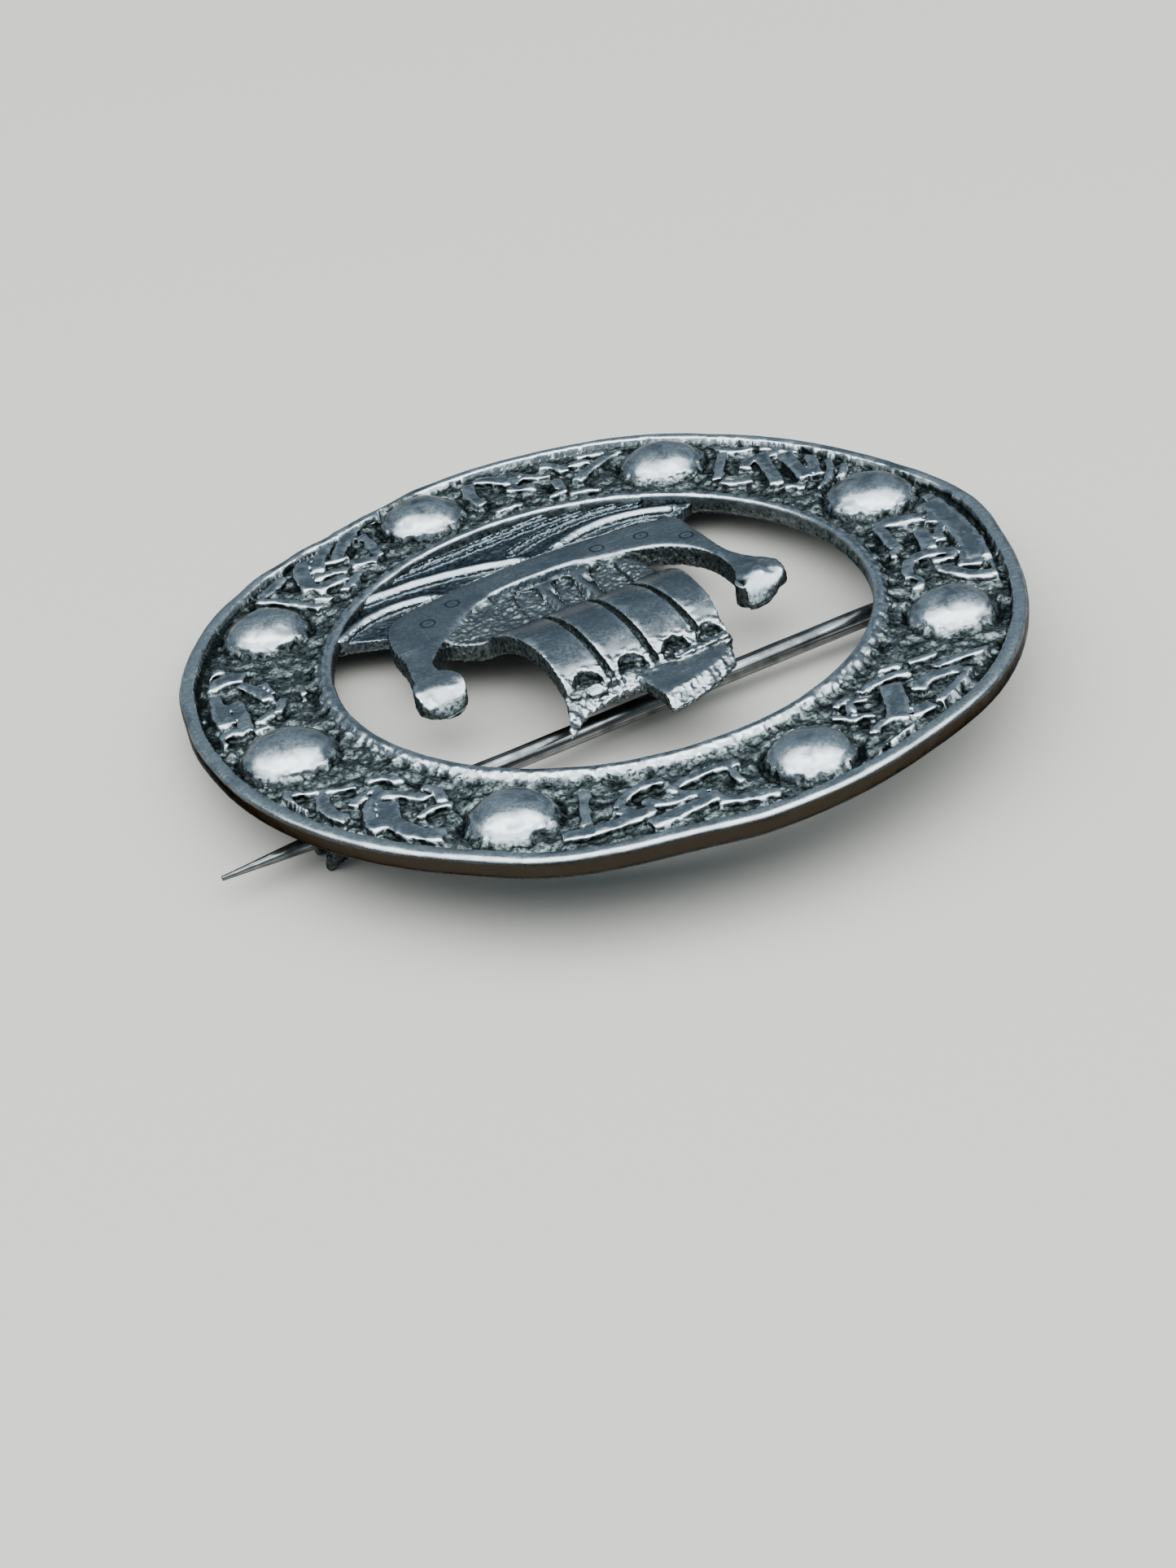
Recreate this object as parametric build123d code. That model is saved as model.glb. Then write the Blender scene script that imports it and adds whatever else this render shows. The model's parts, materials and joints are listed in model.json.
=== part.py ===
"""A round cast silver brooch with a sailing ship in its open ring.

The brooch is modelled flat: X runs along the ship, Y from keel to mast top and Z out of the face, with
the tops of the rims at zero. At the end it is laid down as it rests, on its hinge, its catch and the
edge of the ring below the keel. All sizes are in millimetres.
"""

import os
from collections import namedtuple
from math import atan2, cos, degrees, hypot, radians, sin, sqrt

from build123d import *

# The ring
OUTER_DIAMETER = 40.0
OPENING_DIAMETER = 25.8
THICKNESS = 1.2
EDGE_CHAMFER = 0.35
OUTER_RIM_WIDTH = 0.85
INNER_RIM_WIDTH = 0.85
RIM_CROWN_DROP = 0.12
FIELD_DEPTH = 0.42

# The domes on the ring
DOME_COUNT = 8
DOME_RADIUS = 2.05
DOME_HEIGHT = 1.0
DOME_TURN = 4.8
DOME_SHOULDER = (0.86, 0.66)

# The interlace between the domes
STRAND_DROP = 0.08
STRAND_GROOVE = 0.13
STRAND_WIDTH = 0.62
FIELD_MARGIN = 0.12

# The ship
SHIP_THICKNESS = 1.1
HULL_RISE = 0.08
DECK_DROP = 0.12
POCKET_DEPTH = 0.38
PENNANT_RISE = 0.0
PENNANT_THICKNESS = 0.7
SAIL_BELLY = 1.15
SAIL_THICKNESS = 0.95
SEAM_WIDTH = 0.34
SEAM_DEPTH = 0.24
NICHE_HALF_WIDTH = 0.75
NICHE_HEIGHT = 0.85
NICHE_DEPTH = 0.05
YARD_RISE = 0.22
YARD_WIDTH = 0.5
MARK_RADIUS = 0.38
MARK_LINE = 0.13
MARK_DEPTH = 0.1
WAVE_DROP = 0.5
CREST_DROP = 0.06
BAND_WIDTH = 0.6

# The pin, its hinge and its catch, all behind the ring
PIN_RADIUS = 0.5
PIN_OFFSET = 4.5
PIN_STANDOFF = 1.35
PIN_PAST_EDGE = 2.5
TIP_RADIUS = 0.12
ROOT_RADIUS = 0.55
ROOT_REACH = 1.5
TAPER_LEAD = 0.15
HINGE_INSET = 3.7
CATCH_INSET = 3.0
EYE_RADIUS = 1.0
EYE_WIDTH = 1.0
EYE_GAP = 0.1
EAR_THICKNESS = 0.65
RIVET_RADIUS = 0.4
RIVET_PLAY = 0.05
EAR_PLAY = 0.02
RIVET_HEAD_RADIUS = 0.65
RIVET_HEAD_THICKNESS = 0.3
CATCH_WALL = 0.55
CATCH_PLAY = 0.3
CATCH_WIDTH = 1.6
MOUTH_PLAY = 0.1
SOLDER_OVERLAP = 0.15

OUTER_RADIUS = OUTER_DIAMETER / 2
OPENING_RADIUS = OPENING_DIAMETER / 2
BACK = -THICKNESS
FIELD = -FIELD_DEPTH
FIELD_INSIDE = OPENING_RADIUS + INNER_RIM_WIDTH
FIELD_OUTSIDE = OUTER_RADIUS - OUTER_RIM_WIDTH
FIELD_WIDTH = FIELD_OUTSIDE - FIELD_INSIDE
PANEL_ANGLE = 360 / DOME_COUNT
SUNK = 0.2
CLEAR = 2.0
STRAIGHTEST = 0.01
TIGHTEST = 0.9
RELIEF_TOP = -STRAND_DROP
SHIP_BACK = -SHIP_THICKNESS
PIN_LEVEL = BACK - PIN_STANDOFF

# The domes were set by hand: each is turned a little from even spacing, in degrees, and sits at its own
# share of the field's width. "broad" and "tall" multiply the radius and the height.
Dome = namedtuple("Dome", "turn place broad tall")

DOMES = [
    Dome(-3.2, 0.52, 1.04, 0.80),
    Dome(-1.8, 0.49, 0.96, 0.88),
    Dome(0.0, 0.53, 0.94, 0.88),
    Dome(1.8, 0.53, 0.96, 0.86),
    Dome(2.8, 0.56, 1.05, 1.15),
    Dome(0.8, 0.61, 1.02, 1.25),
    Dome(0.5, 0.56, 1.02, 1.15),
    Dome(-0.8, 0.59, 0.98, 1.00),
]

# One strand of interlace: an arc from its start through its bend to its end. "along" counts from one
# dome to the next, clockwise, and "out" from the inner rim to the outer one. "broad" multiplies the
# strand's width. A later strand passes over an earlier one.
Strand = namedtuple("Strand", "along out bend_along bend_out end_along end_out broad")

PANELS = [
    [
        Strand(0.38, 0.38, 0.47, 0.38, 0.56, 0.46, 0.9),
        Strand(0.27, 0.40, 0.33, 0.50, 0.34, 0.64, 0.65),
        Strand(0.32, 0.37, 0.37, 0.26, 0.44, 0.24, 0.8),
        Strand(0.55, 0.25, 0.62, 0.24, 0.66, 0.36, 0.8),
        Strand(0.575, 0.38, 0.605, 0.52, 0.60, 0.70, 0.8),
        Strand(0.56, 0.86, 0.65, 0.84, 0.74, 0.68, 1.1),
        Strand(0.67, 0.46, 0.75, 0.66, 0.85, 0.88, 0.6),
        Strand(0.71, 0.95, 0.79, 0.92, 0.85, 0.85, 0.6),
        Strand(0.43, 0.90, 0.50, 0.76, 0.56, 0.46, 1.15),
        Strand(0.22, 0.82, 0.37, 0.80, 0.50, 0.52, 1.5),
    ],
    [
        Strand(0.26, 0.56, 0.27, 0.46, 0.26, 0.34, 0.6),
        Strand(0.22, 0.28, 0.36, 0.26, 0.50, 0.40, 0.85),
        Strand(0.51, 0.22, 0.61, 0.28, 0.68, 0.52, 0.85),
        Strand(0.36, 0.58, 0.42, 0.54, 0.48, 0.46, 0.8),
        Strand(0.46, 0.52, 0.53, 0.56, 0.59, 0.46, 0.9),
        Strand(0.62, 0.56, 0.66, 0.56, 0.68, 0.62, 0.7),
        Strand(0.19, 0.86, 0.27, 0.80, 0.37, 0.72, 1.0),
        Strand(0.77, 0.80, 0.79, 0.54, 0.80, 0.20, 0.75),
        Strand(0.35, 0.62, 0.46, 0.71, 0.59, 0.82, 1.2),
        Strand(0.57, 0.60, 0.69, 0.74, 0.85, 0.84, 1.2),
    ],
    [
        Strand(0.27, 0.54, 0.32, 0.46, 0.36, 0.37, 0.7),
        Strand(0.39, 0.33, 0.41, 0.25, 0.45, 0.22, 0.65),
        Strand(0.65, 0.35, 0.68, 0.26, 0.72, 0.36, 0.6),
        Strand(0.71, 0.54, 0.74, 0.46, 0.76, 0.36, 0.6),
        Strand(0.77, 0.50, 0.78, 0.38, 0.81, 0.28, 0.6),
        Strand(0.66, 0.19, 0.70, 0.18, 0.75, 0.20, 0.55),
        Strand(0.42, 0.44, 0.50, 0.28, 0.62, 0.22, 0.75),
        Strand(0.22, 0.96, 0.28, 0.78, 0.37, 0.60, 0.8),
        Strand(0.34, 0.88, 0.45, 0.91, 0.55, 0.90, 1.0),
        Strand(0.36, 0.84, 0.41, 0.68, 0.52, 0.64, 1.1),
        Strand(0.69, 0.93, 0.77, 0.94, 0.86, 0.97, 0.6),
        Strand(0.66, 0.70, 0.73, 0.68, 0.80, 0.72, 0.65),
        Strand(0.57, 0.88, 0.62, 0.82, 0.68, 0.70, 1.2),
        Strand(0.69, 0.74, 0.61, 0.58, 0.52, 0.38, 1.7),
    ],
    [
        Strand(0.59, 0.62, 0.585, 0.53, 0.59, 0.42, 0.6),
        Strand(0.33, 0.50, 0.41, 0.48, 0.50, 0.45, 1.25),
        Strand(0.21, 0.22, 0.32, 0.19, 0.43, 0.19, 1.0),
        Strand(0.43, 0.24, 0.45, 0.16, 0.50, 0.13, 0.6),
        Strand(0.33, 0.80, 0.36, 0.67, 0.45, 0.61, 0.8),
        Strand(0.55, 0.24, 0.62, 0.18, 0.70, 0.19, 0.95),
        Strand(0.69, 0.20, 0.74, 0.27, 0.79, 0.18, 0.6),
        Strand(0.65, 0.92, 0.70, 0.92, 0.76, 0.91, 0.65),
        Strand(0.745, 0.87, 0.72, 0.66, 0.64, 0.48, 1.15),
        Strand(0.56, 0.68, 0.525, 0.45, 0.55, 0.26, 1.1),
        Strand(0.25, 0.64, 0.21, 0.42, 0.205, 0.20, 1.2),
        Strand(0.15, 0.90, 0.22, 0.80, 0.31, 0.66, 1.5),
        Strand(0.11, 0.93, 0.36, 0.89, 0.67, 0.72, 1.8),
    ],
    [
        Strand(0.59, 0.27, 0.63, 0.31, 0.68, 0.34, 0.65),
        Strand(0.29, 0.19, 0.36, 0.18, 0.43, 0.27, 0.75),
        Strand(0.69, 0.88, 0.74, 0.68, 0.77, 0.42, 0.6),
        Strand(0.62, 0.88, 0.69, 0.66, 0.75, 0.36, 0.65),
        Strand(0.21, 0.74, 0.235, 0.48, 0.27, 0.22, 0.8),
        Strand(0.17, 0.88, 0.22, 0.82, 0.30, 0.92, 0.9),
        Strand(0.33, 0.92, 0.40, 0.95, 0.48, 0.90, 1.0),
        Strand(0.42, 0.84, 0.355, 0.72, 0.345, 0.48, 1.0),
        Strand(0.54, 0.90, 0.59, 0.74, 0.66, 0.58, 1.0),
        Strand(0.45, 0.84, 0.53, 0.66, 0.63, 0.50, 1.2),
        Strand(0.38, 0.70, 0.45, 0.52, 0.55, 0.28, 1.2),
    ],
    [
        Strand(0.25, 0.10, 0.31, 0.14, 0.38, 0.11, 0.65),
        Strand(0.52, 0.13, 0.55, 0.19, 0.59, 0.21, 0.65),
        Strand(0.60, 0.12, 0.67, 0.13, 0.74, 0.10, 0.65),
        Strand(0.54, 0.48, 0.56, 0.38, 0.56, 0.26, 1.0),
        Strand(0.36, 0.52, 0.41, 0.46, 0.46, 0.44, 1.1),
        Strand(0.63, 0.70, 0.66, 0.77, 0.70, 0.73, 0.7),
        Strand(0.65, 0.88, 0.71, 0.91, 0.77, 0.86, 0.75),
        Strand(0.24, 0.84, 0.215, 0.60, 0.23, 0.34, 1.0),
        Strand(0.51, 0.84, 0.56, 0.78, 0.60, 0.62, 0.9),
        Strand(0.42, 0.76, 0.47, 0.64, 0.54, 0.62, 0.9),
        Strand(0.27, 0.90, 0.33, 0.78, 0.42, 0.60, 1.2),
        Strand(0.80, 0.94, 0.73, 0.70, 0.64, 0.38, 1.0),
    ],
    [
        Strand(0.27, 0.36, 0.285, 0.28, 0.28, 0.18, 0.65),
        Strand(0.36, 0.15, 0.44, 0.17, 0.52, 0.22, 0.8),
        Strand(0.33, 0.40, 0.40, 0.36, 0.47, 0.28, 1.2),
        Strand(0.56, 0.40, 0.60, 0.33, 0.64, 0.22, 1.1),
        Strand(0.51, 0.66, 0.56, 0.62, 0.61, 0.54, 0.8),
        Strand(0.41, 0.56, 0.47, 0.48, 0.52, 0.36, 0.9),
        Strand(0.215, 0.90, 0.225, 0.60, 0.195, 0.20, 0.7),
        Strand(0.75, 0.74, 0.72, 0.50, 0.67, 0.26, 0.85),
        Strand(0.24, 0.90, 0.31, 0.88, 0.39, 0.90, 1.1),
        Strand(0.47, 0.62, 0.55, 0.78, 0.64, 0.90, 1.15),
        Strand(0.56, 0.58, 0.66, 0.75, 0.78, 0.92, 1.2),
        Strand(0.34, 0.48, 0.41, 0.70, 0.51, 0.90, 1.3),
    ],
    [
        Strand(0.45, 0.10, 0.48, 0.12, 0.52, 0.10, 0.55),
        Strand(0.36, 0.38, 0.41, 0.33, 0.46, 0.30, 0.7),
        Strand(0.51, 0.38, 0.56, 0.42, 0.61, 0.44, 0.65),
        Strand(0.33, 0.56, 0.355, 0.50, 0.37, 0.42, 0.75),
        Strand(0.28, 0.64, 0.27, 0.53, 0.23, 0.42, 0.75),
        Strand(0.24, 0.92, 0.31, 0.86, 0.29, 0.70, 0.8),
        Strand(0.70, 0.96, 0.73, 0.91, 0.75, 0.84, 0.65),
        Strand(0.48, 0.42, 0.56, 0.52, 0.63, 0.66, 1.0),
        Strand(0.31, 0.70, 0.40, 0.68, 0.51, 0.72, 1.15),
        Strand(0.37, 0.82, 0.46, 0.86, 0.58, 0.92, 1.4),
        Strand(0.63, 0.94, 0.67, 0.82, 0.68, 0.62, 1.5),
    ],
]

# An outline is a start and then arcs, each through a bend to its end, as shares of the opening's radius.
Arc = namedtuple("Arc", "bend_x bend_y end_x end_y")

HULL_START = (-0.632, -0.488)
HULL = [
    Arc(-0.628, -0.310, -0.628, -0.147),
    Arc(-0.647, -0.070, -0.690, -0.008),
    Arc(-0.736, 0.047, -0.721, 0.116),
    Arc(-0.643, 0.167, -0.550, 0.186),
    Arc(-0.512, 0.163, -0.527, 0.093),
    Arc(-0.562, 0.023, -0.574, -0.062),
    Arc(-0.574, -0.132, -0.558, -0.202),
    Arc(-0.488, -0.318, -0.357, -0.395),
    Arc(-0.039, -0.473, 0.264, -0.450),
    Arc(0.457, -0.326, 0.581, -0.194),
    Arc(0.616, -0.147, 0.624, -0.078),
    Arc(0.574, 0.008, 0.593, 0.070),
    Arc(0.674, 0.109, 0.756, 0.074),
    Arc(0.771, 0.016, 0.736, -0.054),
    Arc(0.717, -0.140, 0.690, -0.248),
    Arc(0.678, -0.388, 0.636, -0.504),
    Arc(0.535, -0.605, 0.341, -0.636),
    Arc(0.000, -0.667, -0.372, -0.636),
    Arc(-0.558, -0.605, -0.632, -0.488),
]
SAIL_START = (-0.368, -0.190)
SAIL = [
    Arc(0.023, -0.174, 0.388, -0.194),
    Arc(0.345, 0.116, 0.357, 0.442),
    Arc(0.030, 0.446, -0.291, 0.446),
    Arc(-0.345, 0.140, -0.368, -0.190),
]
PENNANT_START = (-0.302, 0.411)
PENNANT = [
    Arc(-0.300, 0.440, -0.256, 0.473),
    Arc(-0.260, 0.515, -0.248, 0.558),
    Arc(-0.109, 0.640, 0.089, 0.690),
    Arc(0.082, 0.600, 0.090, 0.520),
    Arc(0.110, 0.468, 0.178, 0.461),
    Arc(0.326, 0.505, 0.457, 0.620),
    Arc(0.400, 0.505, 0.360, 0.411),
    Arc(0.030, 0.405, -0.302, 0.411),
]
DECK_START = (-0.368, -0.165)
DECK = [
    Arc(-0.349, -0.310, -0.310, -0.411),
    Arc(0.000, -0.535, 0.400, -0.430),
    Arc(0.470, -0.370, 0.520, -0.300),
    Arc(0.480, -0.235, 0.388, -0.165),
    Arc(0.023, -0.150, -0.368, -0.165),
]
SHROUD_START = (0.202, -0.150)
SHROUD = [
    Arc(0.330, -0.170, 0.440, -0.225),
    Arc(0.400, -0.330, 0.341, -0.403),
    Arc(0.280, -0.440, 0.217, -0.438),
    Arc(0.205, -0.300, 0.202, -0.150),
]
WAVES_START = (-0.806, -0.643)
WAVES = [
    Arc(0.000, -1.031, 0.829, -0.612),
    Arc(0.713, -0.548, 0.600, -0.480),
    Arc(0.000, -0.490, -0.600, -0.480),
    Arc(-0.655, -0.590, -0.806, -0.643),
]

# A band is an arc of its own width: wave crests, the sunken pockets between the gunwale and the sail,
# and the raised yard.
Band = namedtuple("Band", "x y bend_x bend_y end_x end_y broad")

CRESTS = [
    Band(-0.651, -0.650, -0.434, -0.735, -0.225, -0.705, 1.0),
    Band(0.008, -0.690, 0.248, -0.778, 0.589, -0.816, 1.1),
    Band(0.403, -0.667, 0.566, -0.690, 0.790, -0.600, 1.0),
    Band(-0.590, -0.800, -0.310, -0.840, -0.020, -0.775, 0.9),
    Band(-0.388, -0.930, 0.039, -0.905, 0.496, -0.895, 0.8),
]
POCKETS = [
    Band(-0.194, -0.150, -0.205, -0.270, -0.215, -0.375, 2.4),
    Band(-0.020, -0.150, -0.030, -0.290, -0.055, -0.405, 1.7),
    Band(0.128, -0.150, 0.118, -0.300, 0.097, -0.420, 2.1),
]

YARDS = [
    Band(-0.270, 0.438, -0.170, 0.440, -0.080, 0.446, 1.0),
    Band(0.225, 0.436, 0.280, 0.434, 0.335, 0.434, 0.8),
]

# Arched niches along the sail's head, seams between its cloths, and ring-and-dot marks on the hull.
Spot = namedtuple("Spot", "x y")
Seam = namedtuple("Seam", "foot_x head_x")

NICHES = [Spot(-0.236, 0.425), Spot(-0.094, 0.425), Spot(0.086, 0.425), Spot(0.264, 0.425)]
SEAMS = [Seam(-0.190, -0.206), Seam(-0.016, -0.004), Seam(0.171, 0.176)]
MARKS = [
    Spot(-0.570, -0.349),
    Spot(-0.438, -0.473),
    Spot(-0.260, -0.504),
    Spot(0.364, -0.505),
    Spot(0.504, -0.426),
]


def share(x, y):
    """A place in the opening, from its shares of the opening's radius."""
    return x * OPENING_RADIUS, y * OPENING_RADIUS


def outline_face(start, arcs):
    """A flat face inside a closed outline of arcs."""
    edges = []
    here = share(*start)
    for arc in arcs:
        there = share(arc.end_x, arc.end_y)
        edges.append(ThreePointArc(here, share(arc.bend_x, arc.bend_y), there))
        here = there
    return make_face(edges)


def band_face(start, bend, end, width, round_ends=False):
    """A flat strip of one width that follows the arc through three points."""
    (ax, ay), (bx, by), (cx, cy) = start, bend, end
    chord = hypot(cx - ax, cy - ay)
    turn = (bx - ax) * (cy - ay) - (by - ay) * (cx - ax)
    if abs(turn) < STRAIGHTEST * chord * chord:
        across = (-(cy - ay) / chord * width / 2, (cx - ax) / chord * width / 2)
        corners = [
            (ax + across[0], ay + across[1]),
            (cx + across[0], cy + across[1]),
            (cx - across[0], cy - across[1]),
            (ax - across[0], ay - across[1]),
        ]
        strip = make_face(Polyline(*corners, close=True))
    else:
        a2, b2, c2 = ax * ax + ay * ay, bx * bx + by * by, cx * cx + cy * cy
        det = 2 * (ax * (by - cy) + bx * (cy - ay) + cx * (ay - by))
        ox = (a2 * (by - cy) + b2 * (cy - ay) + c2 * (ay - by)) / det
        oy = (a2 * (cx - bx) + b2 * (ax - cx) + c2 * (bx - ax)) / det
        radius = hypot(ax - ox, ay - oy)

        def moved(point, by_radius):
            scale = (radius + by_radius) / radius
            return ox + (point[0] - ox) * scale, oy + (point[1] - oy) * scale

        far = [moved(p, width / 2) for p in (start, bend, end)]
        near = [moved(p, -min(width / 2, TIGHTEST * radius)) for p in (start, bend, end)]
        strip = make_face(
            [
                ThreePointArc(*far),
                Line(far[2], near[2]),
                ThreePointArc(near[2], near[1], near[0]),
                Line(near[0], far[0]),
            ]
        )
    if round_ends:
        for point in (start, end):
            strip += Pos(*point) * Circle(width / 2)
    return strip


def row_face(row, width, round_ends=True):
    """The strip of one row of a table of bands."""
    start, bend, end = share(row.x, row.y), share(row.bend_x, row.bend_y), share(row.end_x, row.end_y)
    return band_face(start, bend, end, width * row.broad, round_ends)


def slab(face, low, high):
    """The face made into a plate between two levels."""
    return extrude(Pos(0, 0, low) * face, high - low, dir=(0, 0, 1))


def ring():
    """The flat ring, turned from its section, with a crowned rim at each edge."""
    crown = -RIM_CROWN_DROP
    outer_top = OUTER_RADIUS - OUTER_RIM_WIDTH / 2
    inner_top = OPENING_RADIUS + INNER_RIM_WIDTH / 2
    section = [
        Line((OPENING_RADIUS + EDGE_CHAMFER, BACK), (OUTER_RADIUS - EDGE_CHAMFER, BACK)),
        Line((OUTER_RADIUS - EDGE_CHAMFER, BACK), (OUTER_RADIUS, BACK + EDGE_CHAMFER)),
        Line((OUTER_RADIUS, BACK + EDGE_CHAMFER), (OUTER_RADIUS, crown)),
        ThreePointArc((OUTER_RADIUS, crown), (outer_top, 0), (FIELD_OUTSIDE, crown)),
        Line((FIELD_OUTSIDE, crown), (FIELD_OUTSIDE, FIELD)),
        Line((FIELD_OUTSIDE, FIELD), (FIELD_INSIDE, FIELD)),
        Line((FIELD_INSIDE, FIELD), (FIELD_INSIDE, crown)),
        ThreePointArc((FIELD_INSIDE, crown), (inner_top, 0), (OPENING_RADIUS, crown)),
        Line((OPENING_RADIUS, crown), (OPENING_RADIUS, BACK + EDGE_CHAMFER)),
        Line((OPENING_RADIUS, BACK + EDGE_CHAMFER), (OPENING_RADIUS + EDGE_CHAMFER, BACK)),
    ]
    return revolve(Plane.XZ * make_face(section), Axis.Z)


def dome_radius(index):
    return DOME_RADIUS * DOMES[index % len(DOMES)].broad


def dome_place(index):
    """Where the middle of a dome sits on the ring."""
    row = DOMES[index % len(DOMES)]
    angle = radians(panel_angle(index) + row.turn)
    radius = FIELD_INSIDE + row.place * FIELD_WIDTH
    return Pos(radius * cos(angle), radius * sin(angle))


def dome(index):
    """One polished dome with a flat crown and steep sides, sunk a little into the field."""
    radius = dome_radius(index)
    height = DOME_HEIGHT * DOMES[index % len(DOMES)].tall
    out, up = DOME_SHOULDER
    low, top = (radius, FIELD), (0, FIELD + height)
    shoulder = (out * radius, FIELD + up * height)
    section = [
        Line((0, FIELD - SUNK), (radius, FIELD - SUNK)),
        Line((radius, FIELD - SUNK), low),
        Spline(low, shoulder, top, tangents=[(0, 1), (-1, 0)]),
        Line(top, (0, FIELD - SUNK)),
    ]
    return dome_place(index) * revolve(Plane.XZ * make_face(section), Axis.Z)


def panel_angle(index):
    return DOME_TURN + index * PANEL_ANGLE


def panel(index):
    """The raised interlace between one dome and the next."""
    last = panel_angle(index + 1)

    def place(along, out):
        angle = radians(last - along * PANEL_ANGLE)
        radius = FIELD_INSIDE + out * FIELD_WIDTH
        return radius * cos(angle), radius * sin(angle)

    relief = None
    for row in PANELS[index % len(PANELS)]:
        points = [
            place(row.along, row.out),
            place(row.bend_along, row.bend_out),
            place(row.end_along, row.end_out),
        ]
        width = STRAND_WIDTH * row.broad
        strand = band_face(*points, width)
        if relief is None:
            relief = strand
        else:
            relief = relief - band_face(*points, width + 2 * STRAND_GROOVE) + strand
    field = Circle(FIELD_OUTSIDE - FIELD_MARGIN) - Circle(FIELD_INSIDE + FIELD_MARGIN)
    for neighbour in (index, index + 1):
        field -= dome_place(neighbour) * Circle(dome_radius(neighbour) + FIELD_MARGIN)
    return slab(relief & field, FIELD - SUNK, RELIEF_TOP)


def sail():
    """The bellied sail, hollow behind, with its seams."""
    foot, head = SAIL[0].bend_y * OPENING_RADIUS, SAIL[2].bend_y * OPENING_RADIUS
    half = (head - foot) / 2
    middle = (head + foot) / 2
    radius = (half**2 + SAIL_BELLY**2) / (2 * SAIL_BELLY)
    level = SAIL_BELLY - radius
    across = Rot(0, 90, 0)
    centre = Pos(0, middle, level)
    tube = Cylinder(radius, OPENING_DIAMETER) - Cylinder(radius - SAIL_THICKNESS, OPENING_DIAMETER)
    body = slab(outline_face(SAIL_START, SAIL), SHIP_BACK, CLEAR)
    cloth = body & (centre * across * tube)
    skin = Cylinder(radius + SUNK, OPENING_DIAMETER) - Cylinder(radius - SEAM_DEPTH, OPENING_DIAMETER)
    for seam in SEAMS:
        foot_x, head_x = seam.foot_x * OPENING_RADIUS, seam.head_x * OPENING_RADIUS
        line = band_face((foot_x, foot), ((foot_x + head_x) / 2, middle), (head_x, head), SEAM_WIDTH)
        groove = slab(line, SHIP_BACK, CLEAR)
        cloth -= groove & (centre * across * skin)
    return cloth


def niches():
    """What is cut from the sail's head: an arched niche in each cloth."""
    cut = None
    for spot in NICHES:
        hole = slab(Pos(*share(*spot)) * Ellipse(NICHE_HALF_WIDTH, NICHE_HEIGHT), -NICHE_DEPTH, CLEAR)
        cut = hole if cut is None else cut + hole
    return cut


def pennant():
    """The two-pointed pennant plate above the sail, with the raised yard along its foot."""
    plate = slab(outline_face(PENNANT_START, PENNANT), -PENNANT_THICKNESS, PENNANT_RISE)
    for row in YARDS:
        plate += slab(row_face(row, YARD_WIDTH), -PENNANT_THICKNESS, YARD_RISE)
    return plate


def hull():
    """The hull with its two necks and heads, marked with a ring and a dot here and there."""
    body = slab(outline_face(HULL_START, HULL), SHIP_BACK, HULL_RISE)
    mark = Circle(MARK_RADIUS) - Circle(MARK_RADIUS - MARK_LINE) + Circle(MARK_LINE)
    for spot in MARKS:
        body -= slab(Pos(*share(*spot)) * mark, HULL_RISE - MARK_DEPTH, CLEAR)
    return body


def deck():
    """The sunken panel between gunwale and sail, with its round-ended pockets and the plain shroud."""
    return slab(outline_face(DECK_START, DECK), SHIP_BACK, -DECK_DROP)


def sunken_deck():
    """What is cut from deck and gunwale together: the pockets and the lower shroud."""
    cut = slab(outline_face(SHROUD_START, SHROUD), -2 * DECK_DROP, CLEAR)
    for row in POCKETS:
        cut += slab(row_face(row, BAND_WIDTH), -POCKET_DEPTH - DECK_DROP, CLEAR)
    return cut


def waves():
    """The sea below the hull: a sunken plate with raised crests, joined to the inner rim."""
    sea = slab(outline_face(WAVES_START, WAVES), SHIP_BACK, -WAVE_DROP)
    inside = Circle(OPENING_RADIUS + INNER_RIM_WIDTH / 2)
    for row in CRESTS:
        sea += slab(row_face(row, BAND_WIDTH) & inside, SHIP_BACK, -CREST_DROP)
    return sea


def pin_reach(radius):
    """How far along X a circle of this radius reaches at the pin's place."""
    return sqrt(radius**2 - PIN_OFFSET**2)


HINGE_X = -(pin_reach(OUTER_RADIUS) - HINGE_INSET)
CATCH_X = pin_reach(OUTER_RADIUS) - CATCH_INSET
TIP_X = pin_reach(OUTER_RADIUS) + PIN_PAST_EDGE
CATCH_BORE = PIN_RADIUS + CATCH_PLAY
CATCH_RADIUS = CATCH_BORE + CATCH_WALL
MOUTH_HALF = PIN_RADIUS + MOUTH_PLAY
EAR_GAP_HALF = EYE_WIDTH / 2 + EYE_GAP

# The brooch stands on the edge of the ring below the keel and on the lips of the catch. The ears of
# the hinge reach down to the same plane.
LIP_Y = PIN_OFFSET - MOUTH_HALF
LIP_LEVEL = PIN_LEVEL - sqrt(CATCH_RADIUS**2 - MOUTH_HALF**2)
EDGE_Y = -(OUTER_RADIUS - EDGE_CHAMFER)
SLOPE = (BACK - LIP_LEVEL) / (LIP_Y - EDGE_Y)
REST_TILT = degrees(atan2(SLOPE, 1))
EAR_Y = PIN_OFFSET - EAR_GAP_HALF - EAR_THICKNESS
EAR_RADIUS = PIN_LEVEL - (BACK - SLOPE * (EAR_Y - EDGE_Y))


def along_x(radius, low, high, y, z):
    """A round bar along X."""
    bar = Cylinder(radius, high - low, align=(Align.CENTER, Align.CENTER, Align.MIN))
    return Pos(low, y, z) * Rot(0, 90, 0) * bar


def cone_along_x(first, last, low, high, y, z):
    """A round bar along X that goes from one radius to another."""
    bar = Cone(first, last, high - low, align=(Align.CENTER, Align.CENTER, Align.MIN))
    return Pos(low, y, z) * Rot(0, 90, 0) * bar


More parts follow.
